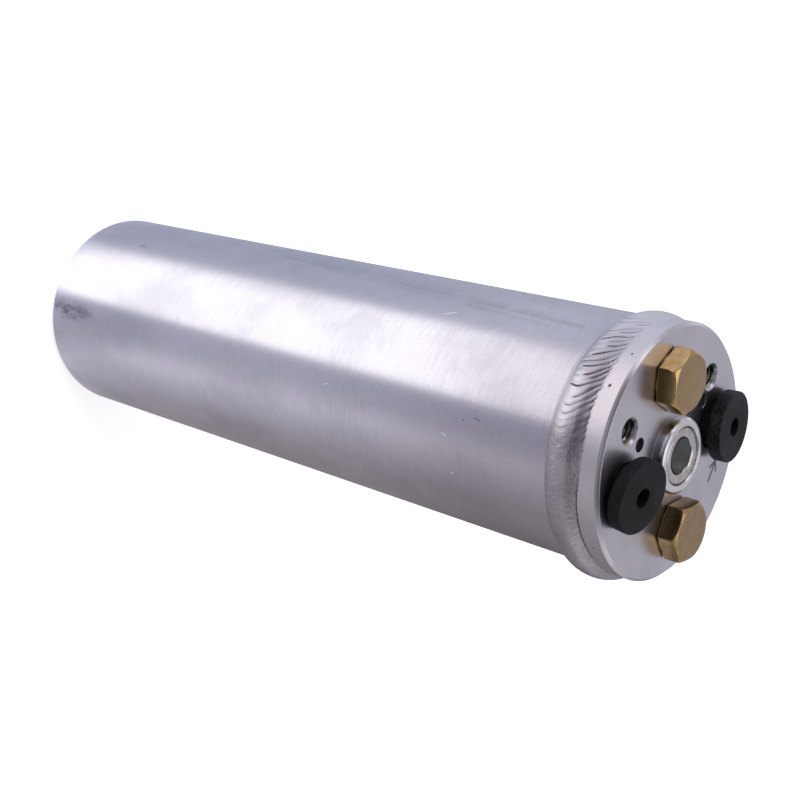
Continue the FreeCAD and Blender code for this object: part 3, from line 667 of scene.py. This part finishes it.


# %% [markdown]
# The weld is one pass of a torch round the joint. Each time the puddle froze it left a ripple, and the
# ripples lie on each other like scales: they start at the head, sweep forward along the travel of the torch
# and hook back a little at the can. A bump pattern could draw the lines, but the weld is the liveliest
# surface of the whole object and its outline is rippled too, so it is modelled. The bead is spun as a smooth
# ring, and then each of its points is sunk by its depth below the ripple's crest. How deep it lies is kept
# as an attribute, because painted shade goes into the valleys and the undercut. The crests themselves lie a
# hair under the skin of the solid, so that the weld never stands proud of it.
#
# Along the ring the ripples aren't alike. A stretch is an angle, a half width and a weight, in degrees and
# shares: they are lively where the torch was slow, and the edge is calm or undercut in other places.

# %% Rippled weld
WELD_MIDDLE = 249.0
WELD_ARC = 7.548
WELD_ARC_MIDDLE = 33.052
WELD_OFFSET = 0.7
WELD_HEAVY = 240.0
CAN_SIDE = 38.0
HEAD_SIDE = 38.6
WELD_SEAT = ((38.6, 252.5), (36.8, 249.0))
BEVEL_FOOT = 242.6
BEVEL_SLOPE = 1.2 / 6.4
LAP_FROM = 251.6
LAP_TO = 255.0
RIPPLES = 106
SWEEP = 9.6
SWEEP_TURN = 247.2
CROWN_POINTS = 38
CROWN_MARK = 45.0
WELD_STEPS = 1600
WELD_SKIN = 0.005
SPUN_FROM = 240.0
SPUN_LENGTH = 18.0
CALM = ((190, 45, 0.8),)
LIVELY = ((125, 21, 1.0), (98, 24, 0.42), (290, 60, 0.6))
UNDERCUT = ((192, 20, 1.0), (146, 9, 0.35))


def chance(number, kind):
    """A fixed number from 0 to 1 for each ripple and each kind of accident."""
    return (math.sin(number * 12.9898 + kind * 78.233) * 43758.5453) % 1.0


def arc_radius(angle, height):
    """The smooth bead: an arc whose middle is set off towards the heavy side, in mm."""
    shift = WELD_OFFSET * math.cos(math.radians(angle - WELD_HEAVY))
    return WELD_ARC_MIDDLE + shift + math.sqrt(WELD_ARC ** 2 - (height - WELD_MIDDLE) ** 2)


def can_toe(angle):
    """The height at which the bead runs out on the bevel of the can, found by halving."""
    low, high = BEVEL_FOOT - 0.5, WELD_MIDDLE
    for _ in range(24):
        middle = (low + high) / 2
        if arc_radius(angle, middle) > CAN_SIDE - BEVEL_SLOPE * (middle - BEVEL_FOOT):
            high = middle
        else:
            low = middle
    return high


def head_toe(angle):
    """The ragged height up to which the bead laps over the rim of the head."""
    ragged = 0.16 * math.sin(math.radians(53 * angle)) + 0.14 * math.sin(math.radians(83 * angle + 30))
    return LAP_TO + ragged * (1 - swell(angle, CALM)) + 0.18 * math.sin(math.radians(7 * angle + 30))


def bead_radius(angle, height, top):
    """The bead with its thin lap over the rim, in mm."""
    if height <= LAP_FROM:
        return arc_radius(angle, height)
    start = arc_radius(angle, LAP_FROM) - HEAD_SIDE
    return HEAD_SIDE + start * max(0.0, (top - height) / (top - LAP_FROM)) ** 1.35


def swell(angle, stretches):
    """The weight at one angle of a few soft-ended stretches of the ring."""
    total = 0.0
    for middle, half, weight in stretches:
        away = (angle - middle + 180) % 360 - 180
        total += weight * math.exp(-(away / half) ** 2)
    return total


def ripple_depth(angle, height, low, high):
    """How deep a point lies below the skin of the bead, in mm, and how much painted shade its ripple line
    gets.
    """
    uneven = 0.9 * math.sin(math.radians(3 * angle + 40)) + 0.4 * math.sin(math.radians(17 * angle))
    uneven += 0.3 * math.sin(math.radians(41 * angle + 70)) + 0.3 * math.sin(0.9 * height + angle / 7)
    swept = SWEEP * (1 - ((height - SWEEP_TURN) / (LAP_TO - SWEEP_TURN)) ** 2)
    phase = (angle - swept + uneven) * RIPPLES / 360
    number = math.floor(phase + 0.5)
    aside = (phase - number + 0.3 * (chance(number % RIPPLES, 1) - 0.5)) * 360 / RIPPLES * 0.69
    number = number % RIPPLES
    line = math.exp(-(aside / (0.17 + 0.14 * chance(number, 2))) ** 2)
    reach = low + 0.6 + 6.5 * chance(number, 3) ** 1.5
    drawn = min(1.0, max(0.0, (height - reach) / 1.6)) * min(1.0, max(0.0, (high - height) / 0.35))
    weight = 0.6 + 0.4 * chance(number, 4)
    strong = min(1.0, swell(angle, LIVELY) + 0.04)
    scale = 0.5 + 0.5 * math.cos(math.tau * (phase - 0.2))
    ends = min(1.0, max(0.0, (height - low) / 3.0)) * min(1.0, max(0.0, (high - height) / 0.5))
    return strong * (0.22 * line * drawn * weight + 0.10 * scale * ends), line * drawn * weight * strong


def toe_groove(angle, height, high):
    """The undercut along the head side of the weld on its lower front, in mm."""
    return 0.26 * swell(angle, UNDERCUT) * math.exp(-((height - high + 0.5) / 0.3) ** 2)


def rippled_weld(material):
    """The weld bead as a closed ring, each crown point sunk into its ripple."""
    shares = [(1 - math.cos(math.pi * number / CROWN_POINTS)) / 2 for number in range(CROWN_POINTS + 1)]
    outline = [(CROWN_MARK, SPUN_FROM + SPUN_LENGTH * share) for share in shares] + list(WELD_SEAT)
    mesh = turned(outline + outline[:1], WELD_STEPS)
    depth = mesh.verts.layers.float.new("valley")
    for corner in mesh.verts:
        if corner.co.xy.length < (CROWN_MARK - 1) * MM:
            continue
        angle = math.degrees(math.atan2(corner.co.y, corner.co.x)) % 360
        low, high = can_toe(angle), head_toe(angle)
        height = low + (high - low) * (corner.co.z / MM - SPUN_FROM) / SPUN_LENGTH
        sunk, valley = ripple_depth(angle, height, low, high)
        groove = toe_groove(angle, height, high)
        radius = bead_radius(angle, height, high) - sunk - groove - WELD_SKIN
        corner.co.xy = corner.co.xy.normalized() * (radius * MM)
        corner.co.z = height * MM
        # Where painted shade goes: along the ripple lines, and stronger in the undercut groove.
        corner[depth] = min(1.0, valley + groove * 3.6)
    return whole_piece(mesh, "rippled_weld", material, "weld_bead", sharp=60.0)


def weld_metal():
    """Cast-looking bright metal, grainy, with painted shade in the valleys, the undercut and on the can
    side, and a painted highlight on the upper side.
    """
    finish = Finish("weld_metal", Metallic=1.0)
    valley = Signal(finish, finish.node("Attribute", {"attribute_name": "valley"}).outputs["Fac"])
    grain = finish.noise(0.0005, 3.0, roughness=0.7)
    clouds = finish.noise(0.007, 3.0, seed=4.0)
    sheet = unrolled(finish)
    dull = patch(finish, sheet, wall_spot(153.0, 252.5), 9.0, 5.0)
    low = past(finish, sheet, 146.0, 156.0) * (1 - past(finish, sheet, 285.0, 320.0))
    colour = finish.blend(finish.ramp(clouds, 0.4, 0.75), (0.56, 0.545, 0.575), (0.47, 0.455, 0.49))
    # A painted highlight over the upper side of the bead.
    above = patch(finish, sheet, wall_spot(80.0, 249.0), 29.0, 60.0)
    colour = finish.blend(above * 0.65, colour, (0.80, 0.785, 0.82))
    # Painted shade on the can side of the bead, much stronger on its lower side.
    canward = 1 - finish.ramp(sheet[1], 244.5, 251.5)
    colour = finish.blend(canward * (0.12 + low * 0.43), colour, (0.27, 0.26, 0.275))
    colour = finish.blend(low * finish.ramp(grain, 0.46, 0.66) * 0.6, colour, (0.40, 0.38, 0.40))
    colour = finish.blend(dull * (0.35 + grain * 0.4), colour, (0.24, 0.23, 0.25))
    # Painted shade in the ripple valleys and the undercut groove.
    valley_shade = finish.math("MINIMUM", finish.ramp(valley, 0.06, 0.62) * (0.7 + grain * 0.4), 1.0)
    colour = finish.blend(valley_shade, colour, (0.06, 0.055, 0.065))
    roughness = 0.37 + grain * 0.12 + valley_shade * 0.2 + low * 0.08
    cast = finish.noise(0.0017, 3.0, roughness=0.6, seed=2.0)
    normal = finish.bump(cast * (0.25 + low * 0.75), 0.0005, 0.8)
    normal = finish.bump(grain, 0.00004, 0.7, normal)
    return finish.finish(Base_Color=colour, Roughness=roughness, Normal=normal)


rippled_weld(weld_metal())

# %% [markdown]
# The brass plugs are turned from hexagon bar: a washer face below, a 30 degree chamfer on the crown above.
# That chamfer is a cone, and where it meets the flats it leaves the curved edges by which one knows a real
# hexagon. They come for free when a ring of edges is extruded upwards and each new point is put at the reach
# of the hexagon and the height of the cone. Then every edge is bevelled, because a spanner has rounded it.

# %% Brass plugs
RING_STEPS = 72
FLAT_REACH = 8.5
CROWN_REACH = 8.1
CROWN_SLOPE = math.tan(math.radians(30.0))
PLUG_FOOT = 250.0
SHANK_REACH = 5.2
WASHER_REACH = 7.9
WASHER_TOP = 261.4
PLUG_TOP = 267.4
EDGE_ROUND = 0.24
BRASS_BREAK = 0.00035
UPPER_PLUG = (23.5, 20.0)
LOWER_PLUG = (-24.4, 51.0)


def grow(mesh, ring, reach, height):
    """Extrude a ring of edges. Each new point gets its reach from the axis and its height, in mm."""
    made = bmesh.ops.extrude_edge_only(mesh, edges=ring)["geom"]
    corners = {item for item in made if isinstance(item, bmesh.types.BMVert)}
    for corner in corners:
        angle = math.atan2(corner.co.y, corner.co.x)
        flat = corner.co.xy.normalized() * (reach(angle) * MM)
        corner.co = (flat.x, flat.y, height(angle) * MM)
    return [edge for edge in mesh.edges if edge.verts[0] in corners and edge.verts[1] in corners]


def hexagon(angle):
    """Reach of a hexagon with a corner at angle zero, in mm."""
    sixth = math.tau / 6
    return FLAT_REACH / math.cos(angle % sixth - sixth / 2)


def brass_plug(name, stands_for, along, turn, material):
    """One hexagon plug, so far along Y in mm and turned by degrees, with washer face and rounded edges."""
    mesh = bmesh.new()
    bmesh.ops.create_circle(mesh, cap_ends=True, radius=(SHANK_REACH - 0.8) * MM, segments=RING_STEPS)
    bmesh.ops.translate(mesh, verts=mesh.verts, vec=(0, 0, PLUG_FOOT * MM))
    ring = list(mesh.edges)
    for reach, height in ((SHANK_REACH, PLUG_FOOT + 0.8), (SHANK_REACH, FACE), (WASHER_REACH, FACE),
                          (WASHER_REACH, WASHER_TOP)):
        ring = grow(mesh, ring, lambda angle: reach, lambda angle: height)
    ring = grow(mesh, ring, hexagon, lambda angle: WASHER_TOP)
    ring = grow(mesh, ring, hexagon, lambda angle: PLUG_TOP - (hexagon(angle) - CROWN_REACH) * CROWN_SLOPE)
    ring = grow(mesh, ring, lambda angle: CROWN_REACH, lambda angle: PLUG_TOP)
    bmesh.ops.edgeloop_fill(mesh, edges=ring)
    bmesh.ops.recalc_face_normals(mesh, faces=mesh.faces)
    hard = [edge for edge in mesh.edges
            if edge.calc_face_angle(0.0) > math.radians(20) and edge.verts[0].co.z > (FACE + 0.1) * MM]
    bmesh.ops.bevel(mesh, geom=hard, offset=EDGE_ROUND * MM, affect="EDGES", segments=3, profile=0.5,
                    material=-1, clamp_overlap=True)
    place = Matrix.Translation((0, along * MM, 0)) @ Matrix.Rotation(math.radians(turn), 4, "Z")
    bmesh.ops.transform(mesh, matrix=place, verts=mesh.verts)
    return whole_piece(mesh, name, material, stands_for)


def plug_brass(name, dull):
    """Brass: gold where it is rubbed, brown and blotched on its flats, darker with light spots on the crown.
    """
    finish = Finish(name, Metallic=1.0)
    blotches = finish.noise(0.0045, 5.0, roughness=0.62, seed=1.0 + dull * 9)
    spots = finish.noise(0.0012, 4.0, roughness=0.7, seed=6.0)
    fine = finish.noise(0.0004, 2.0)
    _, edge_wear_and_sheen = edge_wear(finish, BRASS_BREAK)
    tarnish = finish.ramp(blotches + spots * 0.35 + dull * 0.12, 0.58, 0.92)
    crown = finish.ramp(finish.axes()[2], (PLUG_TOP - 0.15) * MM, (PLUG_TOP - 0.05) * MM)
    colour = finish.blend(tarnish, (0.56, 0.37, 0.16), (0.36, 0.235, 0.115))
    colour = finish.blend(crown * 0.65, colour, (0.31, 0.215, 0.125))
    colour = finish.blend(crown * finish.ramp(spots, 0.42, 0.62) * 0.4, colour, (0.46, 0.35, 0.22))
    colour = finish.blend(finish.ramp(spots, 0.62, 0.80) * 0.35, colour, (0.12, 0.08, 0.045))
    colour = finish.blend(edge_wear_and_sheen * (1 - crown) * 0.8, colour, (0.88, 0.66, 0.36))
    roughness = 0.13 + tarnish * 0.10 + fine * 0.05 + dull * 0.05 + crown * 0.10
    normal = finish.bump(blotches * 0.6 + spots * 0.4, 0.00005, 0.35)
    normal = finish.bump(fine, 0.000012, 0.5, normal)
    return finish.finish(Base_Color=colour, Roughness=roughness, Normal=normal)


brass_plug("brass_plug_upper", "switch_port_plug_upper", *UPPER_PLUG, plug_brass("plug_brass_upper", 0.0))
brass_plug("brass_plug_lower", "switch_port_plug_lower", *LOWER_PLUG, plug_brass("plug_brass_lower", 1.0))

# %% [markdown]
# The tapped holes are plain bores in the solid. A real thread is a ridge that climbs round the hole, so that
# is what is spun here: a small wedge, turned round the hole's axis and lifted by one pitch for each turn.
# Only its bright crests and dark roots show from outside, but they are what says bolt goes here.

# %% Threads in the tapped holes
PITCH = 1.25
THREAD_FROM = 246.0
THREAD_TURNS = 11
TURN_STEPS = 28
BORE_REACH = 3.42
CREST_REACH = 2.96


def thread_ridge(name, across, along, material):
    """A helical ridge on the wall of a tapped hole."""
    mesh = bmesh.new()
    wedge = ((BORE_REACH, -0.52), (CREST_REACH, -0.09), (CREST_REACH, 0.09), (BORE_REACH, 0.52))
    corners = [mesh.verts.new((reach * MM, 0, (THREAD_FROM + lift) * MM)) for reach, lift in wedge]
    edges = [mesh.edges.new(pair) for pair in zip(corners, corners[1:] + corners[:1])]
    steps = THREAD_TURNS * TURN_STEPS
    bmesh.ops.spin(mesh, geom=corners + edges, cent=(0, 0, 0), axis=(0, 0, 1), steps=steps,
                   angle=THREAD_TURNS * math.tau, dvec=(0, 0, PITCH * MM / TURN_STEPS), use_merge=False)
    bmesh.ops.holes_fill(mesh, edges=mesh.edges, sides=0)
    bmesh.ops.translate(mesh, verts=mesh.verts, vec=(across * MM, along * MM, 0))
    return whole_piece(mesh, name, material)


def cut_thread():
    """Cut aluminium, darker than the head as painted shade of the hole, with patches of deeper painted
    shade.
    """
    finish = Finish("cut_thread", Metallic=1.0)
    patchy_thread_shade = finish.ramp(finish.noise(0.0015, 4.0, roughness=0.7), 0.4, 0.65)
    # The whole thread is darkened as painted shade of the hole, deeper still in noisy patches.
    colour = finish.blend(patchy_thread_shade, (0.42, 0.40, 0.38), (0.10, 0.09, 0.08))
    return finish.finish(Base_Color=colour, Roughness=0.22 + patchy_thread_shade * 0.2)


THREAD_FINISH = cut_thread()
for side, hole in zip(("inlet", "outlet"), HOLES):
    thread_ridge(f"tapped_thread_{side}_side", *hole, THREAD_FINISH)

# %% [markdown]
# The sight glass sits in a small steel ring that the head's rolled lip holds down. The ring's upper face is
# dished a little towards the glass and its edges are rounded, which the plain solid hasn't got, so it is
# spun again from a rounded outline and stands for that node. The glass itself keeps its node and gets a
# real glass shader with a very dark green tint, which paints the shade of the vessel behind it.

# %% Sight glass
GLASS_RING_STEPS = 144
GLASS_RING_SECTION = (
    (5.4, 257.0), (9.15, 257.0), (9.15, 263.1), (8.45, 263.1), (8.45, 263.75), (8.41, 263.95),
    (8.28, 264.12), (8.05, 264.25), (7.7, 264.33), (7.25, 264.35), (6.8, 264.31), (6.35, 264.2),
    (5.95, 264.02), (5.65, 263.8), (5.47, 263.55), (5.4, 263.3), (5.4, 257.0),
)


def glass_ring(material):
    """The plated ring round the glass, with a dished face and rounded edges."""
    mesh = turned(GLASS_RING_SECTION, GLASS_RING_STEPS)
    return whole_piece(mesh, "glass_ring", material, "sight_glass_ring", sharp=50.0)


def plated_ring():
    """Plated steel: smooth, warm grey, with wiping marks."""
    finish = Finish("plated_ring", Metallic=1.0)
    clouds = finish.noise(0.003, 4.0, roughness=0.6)
    colour = finish.blend(finish.ramp(clouds, 0.4, 0.7), (0.60, 0.565, 0.54), (0.48, 0.45, 0.43))
    normal = finish.bump(finish.noise(0.0007, 3.0), 0.00002, 0.5)
    return finish.finish(Base_Color=colour, Roughness=0.10 + clouds * 0.12, Normal=normal)


def sight_glass():
    """Glass with a very dark green tint, painted shade of the vessel behind it, and a smear of haze on top.
    """
    finish = Finish("sight_glass", Transmission_Weight=1.0, IOR=1.5)
    haze = finish.ramp(finish.noise(0.004, 3.0, seed=2.0), 0.4, 0.7)
    # The very dark green tint is painted shade of the vessel behind the glass.
    colour = finish.blend(haze, (0.03, 0.055, 0.04), (0.06, 0.095, 0.07))
    return finish.finish(Base_Color=colour, Roughness=0.06 + haze * 0.12)


glass_ring(plated_ring())
dress("sight_glass_lens", sight_glass())

# %% [markdown]
# The two closing plugs are moulded rubber. Rubber is never a flat black: it is a dull dark grey with dust in
# its pores, and a soft grey sheen is painted along its edges. The plug at the inlet has a light bloom on its
# disc, the other one is cleaner. Both keep their own solids.

# %% Rubber
RUBBER_BREAK = 0.0003
SEALS = ("sight_glass_gasket", "switch_port_oring_upper", "switch_port_oring_lower", "pickup_tube_oring")


def rubber(name, bloom, grain=0.0011):
    """Moulded rubber with dusty pores and a painted sheen on its edges. bloom from 0 to 1 greys the skin."""
    finish = Finish(name, Specular_IOR_Level=0.18)
    dust = finish.noise(grain, 5.0, roughness=0.75, seed=bloom)
    clouds = finish.noise(0.008, 3.0, seed=5.0 + bloom)
    flecks = finish.ramp(finish.noise(0.0009, 2.0, seed=8.0), 0.70, 0.78)
    _, edge_wear_and_sheen = edge_wear(finish, RUBBER_BREAK)
    grey = finish.ramp(dust * 0.6 + clouds * 0.4, 0.42, 0.66) * (0.45 + bloom * 0.55)
    colour = finish.blend(grey, (0.004, 0.004, 0.0055), (0.026, 0.025, 0.030))
    colour = finish.blend(flecks * 0.5, colour, (0.09, 0.09, 0.10))
    # A soft grey sheen painted along the edges.
    colour = finish.blend(edge_wear_and_sheen * 0.3, colour, (0.028, 0.028, 0.032))
    normal = finish.bump(finish.noise(0.0005, 3.0), 0.00005, 0.5)
    return finish.finish(Base_Color=colour, Roughness=0.48 + dust * 0.25, Normal=normal)


dress("outlet_port_plug", rubber("plug_rubber_outlet", 0.0))
dress("inlet_port_plug", rubber("plug_rubber_inlet", 1.0))
SEAL_FINISH = rubber("seal_rubber", 0.2, 0.0006)
for node in SEALS:
    dress(node, SEAL_FINISH)
print("rubber dressed")

# %% [markdown]
# The pieces inside never show on the closed vessel, but the part may be opened or drawn in section, so each
# has its own finish too: extruded tube, stamped and perforated sheet, spring wire, felt and drying beads.

# %% Finishes inside the vessel
def sheet_metal(name, bright, dull, roughness, along=1.0):
    """Rolled or drawn metal in one tone, dulled in clouds."""
    finish = Finish(name, Metallic=1.0)
    clouds = finish.noise(0.006, 4.0, (1, 1, along))
    colour = finish.blend(finish.ramp(clouds, 0.35, 0.7), bright, dull)
    normal = finish.bump(finish.noise(0.0009, 3.0, (1, 1, along)), 0.00002, 0.5)
    return finish.finish(Base_Color=colour, Roughness=roughness + clouds * 0.15, Normal=normal)


def filter_felt():
    """Pressed fibres: pale, rough and a little fuzzy."""
    finish = Finish("filter_felt", Sheen_Weight=0.4, Sheen_Roughness=0.6)
    fibres = finish.noise(0.0012, 5.0, (3, 1, 0.3), roughness=0.7)
    colour = finish.blend(fibres, (0.62, 0.60, 0.55), (0.82, 0.80, 0.76))
    return finish.finish(Base_Color=colour, Roughness=0.95, Normal=finish.bump(fibres, 0.0004, 0.8))


def drying_beads():
    """Packed beads of drying agent, drawn as round cells with painted shade in the gaps between them."""
    finish = Finish("drying_beads", Specular_IOR_Level=0.3)
    cells = finish.node("TexVoronoi", {"feature": "F1"}, {"Vector": finish.place, "Scale": 480.0})
    bead = 1 - finish.ramp(Signal(finish, cells.outputs["Distance"]), 0.2, 0.75)
    # The gaps between the cells are painted shade.
    colour = finish.blend(bead, (0.30, 0.27, 0.22), (0.76, 0.70, 0.60))
    return finish.finish(Base_Color=colour, Roughness=0.85, Normal=finish.bump(bead, 0.001, 0.9))


PLATE = sheet_metal("plate_steel", (0.56, 0.55, 0.53), (0.42, 0.41, 0.40), 0.30)
FELT = filter_felt()
dress("support_cup", PLATE)
dress("upper_perforated_plate", PLATE)
dress("lower_filter_pad", FELT)
dress("upper_filter_pad", FELT)
dress("desiccant_bed", drying_beads())
dress("pickup_tube", sheet_metal("tube_aluminium", (0.66, 0.65, 0.67), (0.54, 0.53, 0.55), 0.24, 6.0))
dress("pickup_strainer", sheet_metal("strainer_steel", (0.52, 0.51, 0.50), (0.40, 0.39, 0.38), 0.34))
dress("hold_down_spring", sheet_metal("spring_steel", (0.36, 0.35, 0.35), (0.24, 0.23, 0.23), 0.28))
REMADE = ("weld_bead", "sight_glass_ring", "switch_port_plug_upper", "switch_port_plug_lower")
bare = [name for name, node in NODES.items() if name not in REMADE and not node.data.materials]
print("nodes without a finish", bare)

# %% [markdown]
# Last comes the plain view transform, so that a colour renders as it is written.

# %% View
bpy.context.scene.view_settings.view_transform = "Standard"
